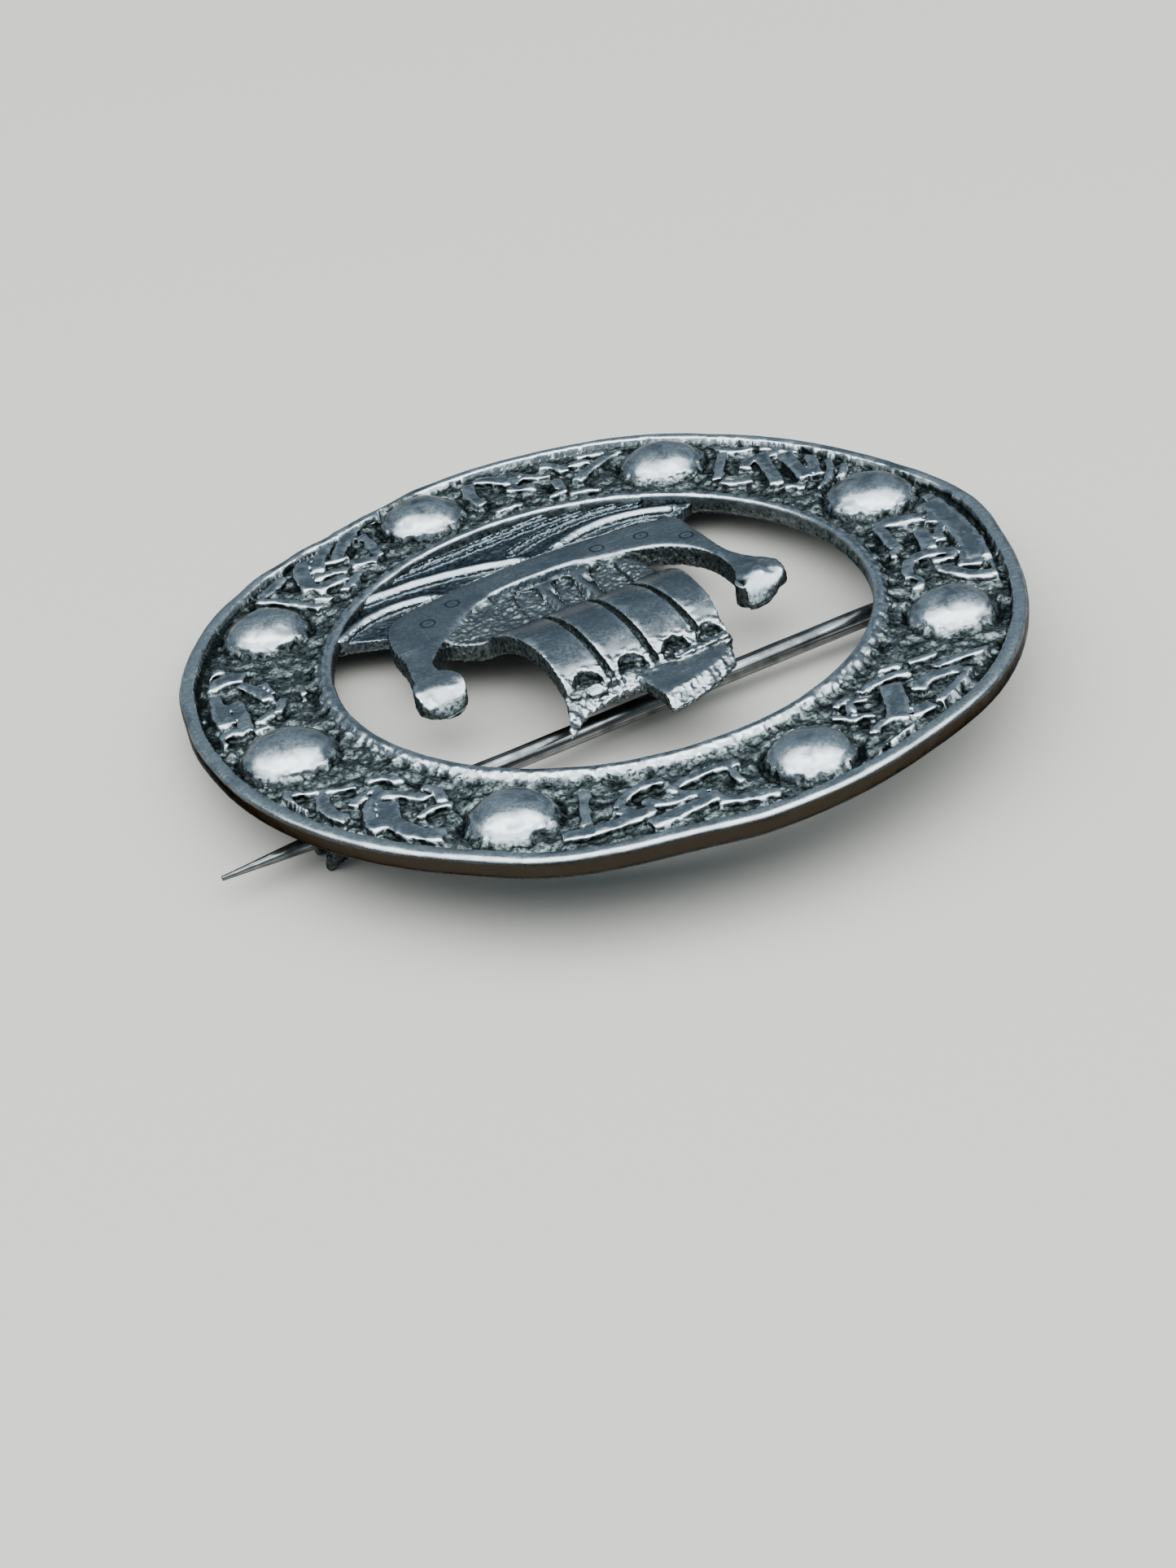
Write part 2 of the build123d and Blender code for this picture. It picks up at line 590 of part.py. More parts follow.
def along_y(radius, low, high, x, z):
    """A round bar along Y."""
    bar = Cylinder(radius, high - low, align=(Align.CENTER, Align.CENTER, Align.MIN))
    return Pos(x, low, z) * Rot(-90, 0, 0) * bar


def hinge_ears():
    """Two round-ended ears soldered to the back, with the rivet's hole."""
    ears = None
    for low in (EAR_Y, PIN_OFFSET + EAR_GAP_HALF):
        high = low + EAR_THICKNESS
        stem_height = BACK + SOLDER_OVERLAP - PIN_LEVEL
        stem = Pos(HINGE_X, (low + high) / 2, PIN_LEVEL + stem_height / 2) * Box(
            2 * EAR_RADIUS, EAR_THICKNESS, stem_height
        )
        ear = along_y(EAR_RADIUS, low, high, HINGE_X, PIN_LEVEL) + stem
        ears = ear if ears is None else ears + ear
    reach = EAR_GAP_HALF + EAR_THICKNESS + SUNK
    hole = along_y(
        RIVET_RADIUS + EAR_PLAY, PIN_OFFSET - reach, PIN_OFFSET + reach, HINGE_X, PIN_LEVEL
    )
    return ears - hole


def catch():
    """A round hook soldered to the back, open on the side that faces away from the ring."""
    low, high = CATCH_X - CATCH_WIDTH / 2, CATCH_X + CATCH_WIDTH / 2
    hook = along_x(CATCH_RADIUS, low, high, PIN_OFFSET, PIN_LEVEL)
    hook -= along_x(CATCH_BORE, low - SUNK, high + SUNK, PIN_OFFSET, PIN_LEVEL)
    neck_height = BACK + SOLDER_OVERLAP - PIN_LEVEL - CATCH_BORE
    neck = Pos(CATCH_X, PIN_OFFSET, BACK + SOLDER_OVERLAP - neck_height / 2) * Box(
        CATCH_WIDTH, 2 * MOUTH_HALF, neck_height
    )
    mouth = Pos(CATCH_X, PIN_OFFSET, PIN_LEVEL - CATCH_RADIUS) * Box(
        CATCH_WIDTH + 2 * SUNK, 2 * MOUTH_HALF, 2 * CATCH_RADIUS
    )
    return hook + neck - mouth


def brooch_casting():
    """Everything that was cast or soldered together, as one solid."""
    body = ring()
    for index in range(DOME_COUNT):
        body += dome(index)
        body += panel(index)
    ship = waves() + hull() + deck() - sunken_deck()
    ship += sail() - niches()
    ship += pennant()
    return body + ship + hinge_ears() + catch()


def hinge_rivet():
    """The rivet, with a round head outside each ear."""
    half = EAR_GAP_HALF + EAR_THICKNESS + EAR_PLAY
    low, high = PIN_OFFSET - half, PIN_OFFSET + half
    rivet = along_y(RIVET_RADIUS, low, high, HINGE_X, PIN_LEVEL)
    rivet += along_y(RIVET_HEAD_RADIUS, low - RIVET_HEAD_THICKNESS, low, HINGE_X, PIN_LEVEL)
    rivet += along_y(RIVET_HEAD_RADIUS, high, high + RIVET_HEAD_THICKNESS, HINGE_X, PIN_LEVEL)
    return rivet


def brooch_pin():
    """The pin: an eye on the rivet, a thick root and a round wire that tapers to a blunt point."""
    bore = RIVET_RADIUS + RIVET_PLAY
    low, high = PIN_OFFSET - EYE_WIDTH / 2, PIN_OFFSET + EYE_WIDTH / 2
    root_start = HINGE_X + (bore + EYE_RADIUS) / 2
    wire_start = HINGE_X + ROOT_REACH
    taper_start = CATCH_X - CATCH_WIDTH / 2 - TAPER_LEAD
    pin = along_y(EYE_RADIUS, low, high, HINGE_X, PIN_LEVEL)
    pin += cone_along_x(ROOT_RADIUS, PIN_RADIUS, root_start, wire_start, PIN_OFFSET, PIN_LEVEL)
    pin += along_x(PIN_RADIUS, wire_start, taper_start, PIN_OFFSET, PIN_LEVEL)
    pin += cone_along_x(PIN_RADIUS, TIP_RADIUS, taper_start, TIP_X, PIN_OFFSET, PIN_LEVEL)
    return pin - along_y(bore, low - SUNK, high + SUNK, HINGE_X, PIN_LEVEL)


def main():
    """Build the pieces flat, lay them down together and write one file for each."""
    pieces = {
        "brooch_casting": brooch_casting(),
        "hinge_rivet": hinge_rivet(),
        "brooch_pin": brooch_pin(),
    }
    laid = {name: Rot(REST_TILT, 0, 0) * piece for name, piece in pieces.items()}
    box = Compound(children=[Compound(piece.solids()) for piece in laid.values()]).bounding_box()
    middle = box.center()
    os.makedirs("parts", exist_ok=True)
    for name, piece in laid.items():
        placed = Pos(-middle.X, -middle.Y, -box.min.Z) * piece
        export_step(placed, os.path.join("parts", f"{name}.step"))
    print("rest tilt", round(REST_TILT, 3), "ear radius", round(EAR_RADIUS, 3))
    print("moved by", -middle.X, -middle.Y, -box.min.Z)


main()
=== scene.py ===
import json
from math import atan2, cos, degrees, exp, hypot, radians, sin, sqrt

import bpy
from mathutils import Matrix, Vector


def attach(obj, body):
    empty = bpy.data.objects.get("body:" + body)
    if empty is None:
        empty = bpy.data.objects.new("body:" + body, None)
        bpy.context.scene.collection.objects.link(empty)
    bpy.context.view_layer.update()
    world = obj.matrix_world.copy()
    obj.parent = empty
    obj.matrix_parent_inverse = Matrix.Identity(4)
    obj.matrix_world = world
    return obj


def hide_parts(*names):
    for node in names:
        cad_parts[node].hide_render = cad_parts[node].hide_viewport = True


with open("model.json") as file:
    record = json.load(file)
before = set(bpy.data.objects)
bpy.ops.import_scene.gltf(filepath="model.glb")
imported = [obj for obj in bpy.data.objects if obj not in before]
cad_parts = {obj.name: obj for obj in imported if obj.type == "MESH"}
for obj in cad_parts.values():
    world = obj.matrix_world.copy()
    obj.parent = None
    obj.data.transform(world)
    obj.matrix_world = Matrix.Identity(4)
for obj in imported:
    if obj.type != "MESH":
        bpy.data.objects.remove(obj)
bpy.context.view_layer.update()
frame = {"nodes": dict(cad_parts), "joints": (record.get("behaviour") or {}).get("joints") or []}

# Camera
# The brooch is seen from above its mast and a little to the right, as in the photograph.
bpy.ops.object.select_all(action="DESELECT")
bpy.ops.object.camera_add(
    location=(0.047178, 0.100906, 0.078678),
    rotation=(radians(52.5844), radians(5.5463), radians(151.0309)),
)
camera = bpy.context.object
camera.name = "camera"
camera.data.sensor_width = 36.0
camera.data.lens = 65.388
camera.data.clip_start = 0.005
bpy.context.scene.camera = camera

# Ring
# The flat ring is cast silver with its rims, domes and interlace, and the ears and the catch are
# soldered behind it. It is worked flat, in millimetres, with the tops of its rims at zero, and then
# laid down as it rests.
hinge_flat = Vector((-15.7872, 4.5, -2.55))
opening_radius = 12.9
outer_radius = 20.0
field_depth = 0.42
rim_top = -0.02
field_start = 13.4
shoulder_start, shoulder_end = 13.2, 13.95
groove_start, outer_rim_start = 18.8, 19.26
edge_start, edge_rounding = 19.7, 0.3
most_triangles = 195000
hinge = frame["joints"][0]
tilt = atan2(hinge["axis"][2], hinge["axis"][1])
lay = Matrix.Rotation(tilt, 4, "X")
lay = Matrix.Translation(Vector(hinge["pos_m"]) - lay @ (hinge_flat / 1000)) @ lay
lay_down = lay @ Matrix.Scale(0.001, 4)


def pick(piece):
    """Select one object alone."""
    bpy.ops.object.select_all(action="DESELECT")
    piece.select_set(True)
    bpy.context.view_layer.objects.active = piece


def twin(piece, name):
    """A copy of a piece with its own mesh."""
    other = piece.copy()
    other.data = piece.data.copy()
    other.name = name
    bpy.context.collection.objects.link(other)
    return other


def from_cad(node, name):
    """A copy of a CAD node's metal, closed, flat and in millimetres."""
    piece = bpy.data.objects.new(name, frame["nodes"][node].data.copy())
    bpy.context.collection.objects.link(piece)
    piece.data.transform(lay_down.inverted())
    pick(piece)
    bpy.ops.object.mode_set(mode="EDIT")
    bpy.ops.mesh.select_all(action="SELECT")
    bpy.ops.mesh.remove_doubles(threshold=0.0005)
    bpy.ops.object.mode_set(mode="OBJECT")
    return piece


def shape(piece, kind, **values):
    """Add a modifier and apply it."""
    pick(piece)
    step = piece.modifiers.new(kind.lower(), kind)
    for key, value in values.items():
        setattr(step, key, value)
    bpy.ops.object.modifier_apply(modifier=step.name)


def ramp(value, low, high):
    """Rise softly from 0 at low to 1 at high."""
    t = max(0.0, min(1.0, (value - low) / (high - low)))
    return t * t * (3 - 2 * t)


def everywhere(p, n):
    return 1.0


def weigh(piece, name, rule):
    """A vertex group that holds, in tenths, the weight that a rule gives each point."""
    group = piece.vertex_groups.new(name=name)
    tenths = {}
    for v in piece.data.vertices:
        weight = round(10 * rule(v.co, v.normal))
        if weight > 0:
            tenths.setdefault(weight, []).append(v.index)
    for weight, points in tenths.items():
        group.add(points, weight / 10, "REPLACE")


def soften(piece, where, rule, factor, rounds):
    """Smooth the surface where a rule says."""
    weigh(piece, where, rule)
    shape(piece, "SMOOTH", factor=factor, iterations=rounds, vertex_group=where)


def roughen(piece, where, rule, size, depth, octaves=2):
    """Push the surface in and out by cloudy noise of one size, where a rule or an old group says."""
    if rule:
        weigh(piece, where, rule)
    pattern = bpy.data.textures.new(where, "CLOUDS")
    pattern.noise_scale = size
    pattern.noise_depth = octaves
    shape(
        piece, "DISPLACE", texture=pattern, vertex_group=where, strength=depth, mid_level=0.5,
        texture_coords="LOCAL", direction="NORMAL",
    )


def thin(piece, most):
    """Fewer triangles, where the metal is plain."""
    piece.data.calc_loop_triangles()
    count = len(piece.data.loop_triangles)
    if count > most:
        shape(piece, "DECIMATE", ratio=most / count)


def nowhere(p, n):
    return 0.0


def keep_wear_and_shading(piece, clean_and_shadow_rule, painted_wood_reflection_rule=nowhere, painted_shade_rule=nowhere):
    """Each point keeps how rubbed its rules say it is, with a painted shadow on the sea, how much painted
    reflection of the wood and painted shade it gets, and how far it stands above the metal near it, over a
    short reach for the edges and a long one for the hollows."""
    normals = [v.normal.copy() for v in piece.data.vertices]
    for name, rule in (("clean_and_shadow", clean_and_shadow_rule), ("painted_wood_reflection", painted_wood_reflection_rule), ("painted_shade", painted_shade_rule)):
        kept = piece.data.attributes.new(name, "FLOAT", "POINT")
        kept.data.foreach_set("value", [rule(v.co, n) for v, n in zip(piece.data.vertices, normals)])
    for name, rounds in (("edge", 4), ("hollow", 40)):
        soft = twin(piece, name)
        shape(soft, "SMOOTH", factor=0.9, iterations=rounds)
        heights = [
            (v.co - s.co).dot(n) for v, s, n in zip(piece.data.vertices, soft.data.vertices, normals)
        ]
        layer = piece.data.attributes.new(name, "FLOAT", "POINT")
        layer.data.foreach_set("value", heights)
        bpy.data.objects.remove(soft)


# The ship is cut out of the same casting, along the opening.
ring = from_cad("brooch_casting", "ring")
ship = twin(ring, "ship")
bpy.ops.mesh.primitive_cylinder_add(
    vertices=180, radius=opening_radius - 0.02, depth=6.0, location=(0, 0, 1.8)
)
opening = bpy.context.object
opening.name = "opening"
shape(ring, "BOOLEAN", object=opening, operation="DIFFERENCE", solver="EXACT")
shape(ship, "BOOLEAN", object=opening, operation="INTERSECT", solver="EXACT")
bpy.data.objects.remove(opening)

# How far out the edge reaches at each turn, in degrees: it was filed by hand and isn't quite round.
edge_reach = [
    (0, 19.9), (42, 19.92), (55, 20.18), (74, 19.7), (83, 19.9), (105, 19.9), (124, 20.24),
    (161, 19.88), (175, 20.2), (196, 19.8), (217, 19.98), (238, 20.35), (256, 20.1), (271, 19.87),
    (278, 19.45), (289, 19.3), (296, 19.6), (305, 20.02), (318, 20.3), (334, 20.3), (346, 20.05),
    (360, 19.9),
]


def reach_at(turn):
    """How far out the edge reaches at a turn, in degrees."""
    for (low, first), (high, second) in zip(edge_reach, edge_reach[1:]):
        if turn <= high:
            return first + (second - first) * ramp(turn, low, high)
    return outer_radius


def rim_height(reach):
    """How high the rims stand, or None between them. Both are flat on top, with a shoulder outside."""
    if reach < field_start:
        return rim_top - 0.08 * ramp(-reach, -13.0, -opening_radius)
    if reach < 14.0:
        return rim_top - (field_depth + rim_top) * ramp(reach, shoulder_start, shoulder_end)
    if reach > edge_start:
        across = (reach - edge_start) / edge_rounding
        return rim_top - edge_rounding * (1 - sqrt(max(0.0, 1 - across**2)))
    if reach > outer_rim_start:
        return rim_top
    if reach > groove_start:
        return -field_depth - 0.06
    return None


shape(ring, "REMESH", mode="VOXEL", voxel_size=0.07)
for v in ring.data.vertices:
    reach = hypot(v.co.x, v.co.y)
    height = rim_height(reach)
    if height is not None and v.co.z > -0.5:
        side = reach < opening_radius + 0.05 or reach > outer_radius - 0.05
        if side:
            v.co.z = min(v.co.z, height)
        elif reach < 14.0:
            v.co.z = max(v.co.z, height) if reach > 13.8 else height
        else:
            v.co.z = height
    if reach > 18.6:
        turn = degrees(atan2(v.co.y, v.co.x)) % 360
        shift = (reach_at(turn) - outer_radius) * ramp(reach, 18.6, 19.4)
        v.co.x *= 1 + shift / reach
        v.co.y *= 1 + shift / reach

# The domes were set by hand. Each has its turn in degrees, its reach from the middle and its radius.
# Their feet have spread a little.
domes = [
    (1.6, 16.56, 2.13), (48.0, 16.4, 1.97), (94.8, 16.61, 1.93), (141.6, 16.61, 1.97),
    (187.6, 16.77, 2.15), (230.6, 17.04, 2.09), (275.3, 16.77, 2.09), (319.0, 16.94, 2.01),
]
dome_spread = 1.07
dome_rise = 1.02
moat_width, moat_depth = 0.28, 0.16
dome_spots = [(d * cos(radians(a)), d * sin(radians(a)), r * dome_spread) for a, d, r in domes]


def from_dome(p):
    """How far a point is from the foot of the nearest dome: under 0 is inside."""
    return min(hypot(p.x - x, p.y - y) - r for x, y, r in dome_spots)


def in_field(p):
    """How much a point lies in the sunken field or on the inner rim's outer slope."""
    reach = hypot(p.x, p.y)
    return ramp(reach, field_start, 13.7) * ramp(-reach, -19.32, -19.2)


def ring_clean(p, n):
    """The tops are polished, the field and the inner wall are black, and the back is dull."""
    reach = hypot(p.x, p.y)
    if n.z < -0.5:
        return 0.7
    if in_field(p) > 0.5:
        if p.z > 0.02 or from_dome(p) < 0.35:
            return ramp(-from_dome(p), 0.0, 0.2)
        return ramp(p.z, -0.32, -0.14)
    if reach < 16:
        return 2 * ramp(p.z, -0.42, -0.24) if reach > 13.1 else ramp(p.z, -0.24, -0.08)
    return 0.6 + 0.4 * ramp(p.z, -0.5, -0.3)


def ring_painted_wood_reflection(p, n):
    """Painted reflection of the wood, with painted shade, on the outer wall: darker below its top edge, and
    least at the stern's side, where the wall faces the light.
    """
    reach = hypot(p.x, p.y)
    outward = ramp((n.x * p.x + n.y * p.y) / reach, 0.0, 0.3)
    wall = outward * ramp(reach, 19.2, 19.5) * ramp(-p.z, 0.03, 0.27) * ramp(n.z, -0.9, -0.5)
    # Less painted reflection towards -x, where the wall faces the light.
    return wall * (1 - 0.4 * ramp(-p.x, 8.0, 18.0))


for v in ring.data.vertices:
    p = v.co
    if p.z < -0.6 or hypot(p.x, p.y) < 14.0 or hypot(p.x, p.y) > 19.0:
        continue
    near, reach = min((hypot(p.x - x, p.y - y) - r, r) for x, y, r in dome_spots)
    if near < 0:
        p.z = -field_depth + dome_rise * (1 - ((near + reach) / reach) ** 2.6) ** 0.85
    elif near < moat_width:
        p.z = min(p.z, -field_depth - moat_depth)
    elif 17.4 < hypot(p.x, p.y) < groove_start:
        # The small plate between the two right-hand domes
        turn = degrees(atan2(p.y, p.x)) % 360
        plate = ramp(hypot(p.x, p.y), 17.5, 17.62) * ramp(turn, 156, 156.5) * ramp(-turn, -178, -177.5)
        p.z = max(p.z, -field_depth + (field_depth - 0.03) * plate)


def ring_rims(p, n):
    return 1 - ramp(-p.z, 0.6, 0.9) - in_field(p)


def ring_shoulder(p, n):
    return 1 - ramp(abs(hypot(p.x, p.y) - 13.5), 0.1, 0.4)


def ring_mounds(p, n):
    return in_field(p) * ramp(-p.z, 0.1, 0.26)


def ring_grit(p, n):
    """The low field and, by half, the sides of the relief."""
    return in_field(p) * max(ramp(-p.z, 0.1, 0.22), 0.5 * ramp(-n.z, -0.85, -0.5))


def ring_relief(p, n):
    return in_field(p) * ramp(-p.z, -0.1, 0.05)


def ring_domes(p, n):
    return ramp(p.z, 0.02, 0.2)


soften(ring, "all", everywhere, 0.5, 3)
roughen(ring, "rims", ring_rims, 1.8, 0.07, 1)
roughen(ring, "shoulder", ring_shoulder, 0.4, 0.24)
roughen(ring, "mounds", ring_mounds, 0.75, 0.4, 1)
roughen(ring, "grit", ring_grit, 0.22, 0.17)
roughen(ring, "relief", ring_relief, 0.8, 0.14)
roughen(ring, "domes", ring_domes, 1.4, 0.14, 1)
roughen(ring, "domes", None, 0.45, 0.035, 1)
thin(ring, most_triangles)
keep_wear_and_shading(ring, ring_clean, ring_painted_wood_reflection)

# Cast silver: blackened in the hollows, polished on the heights, brightest along the edges, with painted
# shade on the sea and a painted reflection of the wood on the outer wall.
silver = bpy.data.materials.new("cast_silver")
silver.use_nodes = True
tree = silver.node_tree
shader = tree.nodes["Principled BSDF"]
place = tree.nodes.new("ShaderNodeTexCoord").outputs["Object"]


def put(tree, kind, inputs=None, **settings):
    """Add a shader node with its settings and what goes into it."""
    node = tree.nodes.new("ShaderNode" + kind)
    for key, value in settings.items():
        setattr(node, key, value)
    for key, value in (inputs or {}).items():
        if isinstance(value, bpy.types.NodeSocket):
            tree.links.new(value, node.inputs[key])
        else:
            node.inputs[key].default_value = value
    return node


def spread(tree, value, low, high, first=0.0, last=1.0):
    """Stretch a value from one range to another, held at its ends."""
    sizes = {"Value": value, "From Min": low, "From Max": high, "To Min": first, "To Max": last}
    return put(tree, "MapRange", sizes).outputs["Result"]


def grain(tree, size_mm, detail=3.0, where=None):
    """Noise whose spots are this many millimetres across."""
    inputs = {"Vector": where or place, "Scale": 1000 / size_mm, "Detail": detail}
    return put(tree, "TexNoise", inputs).outputs["Fac"]


def sum_of(tree, first, second, times=1.0):
    """The first value plus so many times the second."""
    return put(tree, "Math", {0: second, 1: times, 2: first}, operation="MULTIPLY_ADD").outputs[0]


def lesser(tree, first, second):
    return put(tree, "Math", {0: first, 1: second}, operation="MINIMUM").outputs[0]


def blend(tree, share, first, last):
    """Go from one colour to another."""
    node = put(tree, "Mix", {"Factor": share, "A": first, "B": last}, data_type="RGBA")
    return node.outputs["Result"]


def worn(tree, name):
    """What keep_wear_and_shading kept at each point."""
    return put(tree, "Attribute", attribute_name=name).outputs["Fac"]


cloud = spread(tree, grain(tree, 0.3), 0.3, 0.7, -0.5, 0.5)
hollow = spread(tree, sum_of(tree, worn(tree, "hollow"), cloud, 0.06), -0.09, -0.015)
clean_and_shadow = sum_of(tree, worn(tree, "clean_and_shadow"), cloud, 0.3)
hollow = sum_of(tree, hollow, spread(tree, clean_and_shadow, 1.2, 2.0))
polish_and_shadow = lesser(tree, hollow, spread(tree, clean_and_shadow, 0.0, 1.0))
blotch = spread(tree, grain(tree, 0.18), 0.36, 0.68)
black = blend(tree, blotch, (0.012, 0.017, 0.017, 1), (0.15, 0.175, 0.175, 1))
patch = spread(tree, grain(tree, 2.0), 0.35, 0.65)
bright = blend(tree, patch, (0.21, 0.23, 0.245, 1), (0.27, 0.285, 0.295, 1))
edge = spread(tree, worn(tree, "edge"), 0.012, 0.03)
metal = blend(tree, edge, bright, (0.42, 0.44, 0.45, 1))
deep = spread(tree, worn(tree, "hollow"), -0.04, -0.11, 0.0, 0.85)
black = blend(tree, deep, black, (0.005, 0.007, 0.007, 1))
# The patina's black goes where the metal is dull, and also on the sea's painted shadow bands.
tone = blend(tree, polish_and_shadow, black, metal)
# Painted reflection of the wood, with painted shade, darkens the outer wall.
tone = blend(tree, worn(tree, "painted_wood_reflection"), tone, (0.036, 0.029, 0.022, 1))
painted_shade = lesser(tree, worn(tree, "painted_shade"), spread(tree, grain(tree, 0.5), 0.3, 0.55, 0.65, 1.0))
# Painted shade on the sea's slopes and by the sail's foot, a little mottled.
tone = blend(tree, painted_shade, tone, (0.09, 0.108, 0.12, 1))


def stretched(tree, share, turn=0.0):
    """Coordinates in which a pattern is drawn out into lines, at a turn in radians."""
    inputs = {"Vector": place, "Rotation": (0, 0, turn), "Scale": (share, 1.0, 1.0)}
    return put(tree, "Mapping", inputs).outputs["Vector"]


along = stretched(tree, 0.012, 0.25)
across = stretched(tree, 0.012, 1.2)
scratch = sum_of(
    tree,
    spread(tree, grain(tree, 0.06, 1.0, along), 0.70, 0.76),
    spread(tree, grain(tree, 0.05, 1.0, across), 0.73, 0.78),
)
# Ring-and-dot marks, punched into the hull: a fine dark line round each.
hull_top = 0.08
marks = [(-7.35, -4.5), (-5.65, -6.1), (-3.35, -6.5), (4.7, -6.51), (6.5, -5.5)]
ring_line = 0.00034
ring_mark = None
for x, y in marks:
    middle = lay_down @ Vector((x, y, hull_top))
    away = put(tree, "VectorMath", {0: place, 1: middle}, operation="DISTANCE").outputs["Value"]
    near = put(tree, "Math", {0: away, 1: ring_line}, operation="SUBTRACT").outputs[0]
    near = put(tree, "Math", {0: near}, operation="ABSOLUTE").outputs[0]
    near = lesser(tree, near, away)
    ring_mark = near if ring_mark is None else lesser(tree, ring_mark, near)
engraved = spread(tree, ring_mark, 0.00003, 0.00008, 0.75, 0.0)
tone = blend(tree, engraved, tone, (0.05, 0.06, 0.07, 1))
tree.links.new(tone, shader.inputs["Base Color"])

dull = spread(tree, polish_and_shadow, 0.0, 1.0, 0.4, 0.23)
dull = sum_of(tree, dull, blotch, -0.12)
dull = sum_of(tree, dull, scratch, 0.2)
dull = sum_of(tree, dull, grain(tree, 0.6), 0.14)
tree.links.new(dull, shader.inputs["Roughness"])
shader.inputs["Metallic"].default_value = 1.0
shader.inputs["Specular Tint"].default_value = (0.3, 0.3, 0.31, 1)
bump = put(
    tree, "Bump",
    {"Strength": spread(tree, polish_and_shadow, 0.0, 1.0, 0.8, 0.05), "Distance": 0.00004, "Height": grain(tree, 0.1)},
)
tree.links.new(bump.outputs["Normal"], shader.inputs["Normal"])


def finish(piece, material):
    """Lay a piece down as it rests, and give it its material."""
    piece.data.transform(lay_down)
    piece.vertex_groups.clear()
    pick(piece)
    bpy.ops.object.shade_smooth()
    piece.data.materials.clear()
    piece.data.materials.append(material)


finish(ring, silver)
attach(ring, "brooch")
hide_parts("brooch_casting")

# Ship
# The hull, the sea below it and the sail above it are one silver casting with the ring, worn smooth on
# their heights. The sea's ends run on into the inner rim.
sea_floor = -0.5
crest_width, crest_slope, crest_end = 0.17, 0.6, 0.7
head_drop = 1.0
niche_depth, seam_depth = 0.36, 0.14
pennant_drop, step_drop, step_length = 0.45, 0.17, 0.62
keel_drop, keel_width = 0.4, 0.9
# Each crest of the sea goes from a start through a bend to an end, in millimetres, with its height.
crests = [
    ((-8.4, -8.4), (-5.6, -9.5), (-2.9, -9.1), 0.42),
    ((0.1, -8.9), (3.2, -10.0), (7.6, -10.5), 0.45),
    ((5.2, -8.6), (7.3, -8.9), (10.2, -7.7), 0.42),
]


def crest_at(crest, x):
    """How far up the ship a crest lies at this place along it: a parabola through its three places."""
    (a, low), (b, middle), (c, high) = crest[:3]
    first = low * (x - b) * (x - c) / ((a - b) * (a - c))
    second = middle * (x - a) * (x - c) / ((b - a) * (b - c))
    third = high * (x - a) * (x - b) / ((c - a) * (c - b))
    return first + second + third


def sea_height(x, y):
    """The sea's surface, and how far the keel's side of a crest lies there."""
    height, keelward = 0.0, 9.0
    for crest in crests:
        start, end = crest[0][0], crest[2][0]
        side = y - crest_at(crest, min(max(x, start), end))
        beyond = max(0.0, start - x, x - end)
        width = crest_slope if side < 0 else crest_width
        here = crest[3] * exp(-((side / width) ** 2) - (beyond / crest_end) ** 2)
        if here > height:
            height, keelward = here, side
    return sea_floor + height, keelward


# The pennant's lower hem, from its outer point round the notch to its other end.
hem = [(-3.3, 7.1), (-2.3, 7.8), (-1.4, 8.26), (0.0, 8.62), (1.1, 8.9), (1.2, 6.3), (1.5, 6.03),
       (2.3, 5.95), (3.2, 6.13), (4.2, 6.51), (5.2, 7.22), (5.9, 8.0)]
seams = [(-2.45, -2.66), (-0.21, -0.05), (2.21, 2.27)]
foot, head = -2.24, 5.75


def hem_at(x):
    """Where the pennant's hem lies at this place along the ship."""
    for (a, low), (b, high) in zip(hem, hem[1:]):
        if x <= b:
            return low + (high - low) * max(0.0, (x - a) / (b - a))
    return hem[-1][1]


def from_seam(p):
    """How far a point is from the nearest seam of the sail."""
    share = (p.y - foot) / (head - foot)
    return min(abs(p.x - a - (b - a) * share) for a, b in seams)


def near_mark(p):
    """Whether a point is one of a ring-and-dot mark's."""
    return p.y < -4 and min(hypot(p.x - x, p.y - y) for x, y in marks) < 0.5


def ship_clean_and_shadow(p, n):
    """Polished tops; dark seams, niches, pockets and walls; a painted shadow darkens the sea just beyond
    each crest.
    """
    if n.z < -0.4:
        return 0.7
    # Painted shadow: a dark band on the sea just beyond each crest, on the keel's side.
    if p.y < -5.9 and p.z < -0.03:
        keelward = sea_height(p.x, p.y)[1]
        return 1 - 0.8 * ramp(keelward, 0.22, 0.35) * (1 - ramp(keelward, 0.6, 1.2))
    if n.z < 0.35 and p.y > -2.0:
        return 0.05
    if -2.2 < p.y < 5.2 and p.z > -0.1:
        return ramp(from_seam(p), 0.12, 0.24)
    if p.y > 5.2 and p.x > 1.15 and n.z > 0.2:
        return 2 - 1.6 * ramp(hem_at(p.x) - p.y, 0.45, 0.6)
    if n.z < 0.35:
        return 0.05
    if -6.9 < p.y < -2.0 and p.z < -0.05:
        if p.z > -0.2:
            return 0.85 if -1.9 < p.x < 1.0 else 0.3
        return 0.35 + 0.2 * ramp(-p.z, 0.35, 0.45)
    return ramp(p.z, -0.6, -0.4)


def ship_painted_shade(p, n):
    """Painted shade: the sea's long slopes are darkened, all but a line along each crest, and so are the
    faces by the sail's foot that turn towards the keel.
    """
    # Painted shade on the faces by the sail's foot that turn towards the keel.
    if -2.8 < p.y < -1.4 and p.z > -0.4:
        return ramp(-n.y, 0.1, 0.35)
    if p.y > -5.9 or p.z > -0.03 or n.z < -0.4:
        return 0.0
    keelward = sea_height(p.x, p.y)[1]
    crest = (1 - ramp(abs(keelward - 0.06), 0.1, 0.22)) * ramp(p.z, -0.42, -0.3)
    return 1 - crest


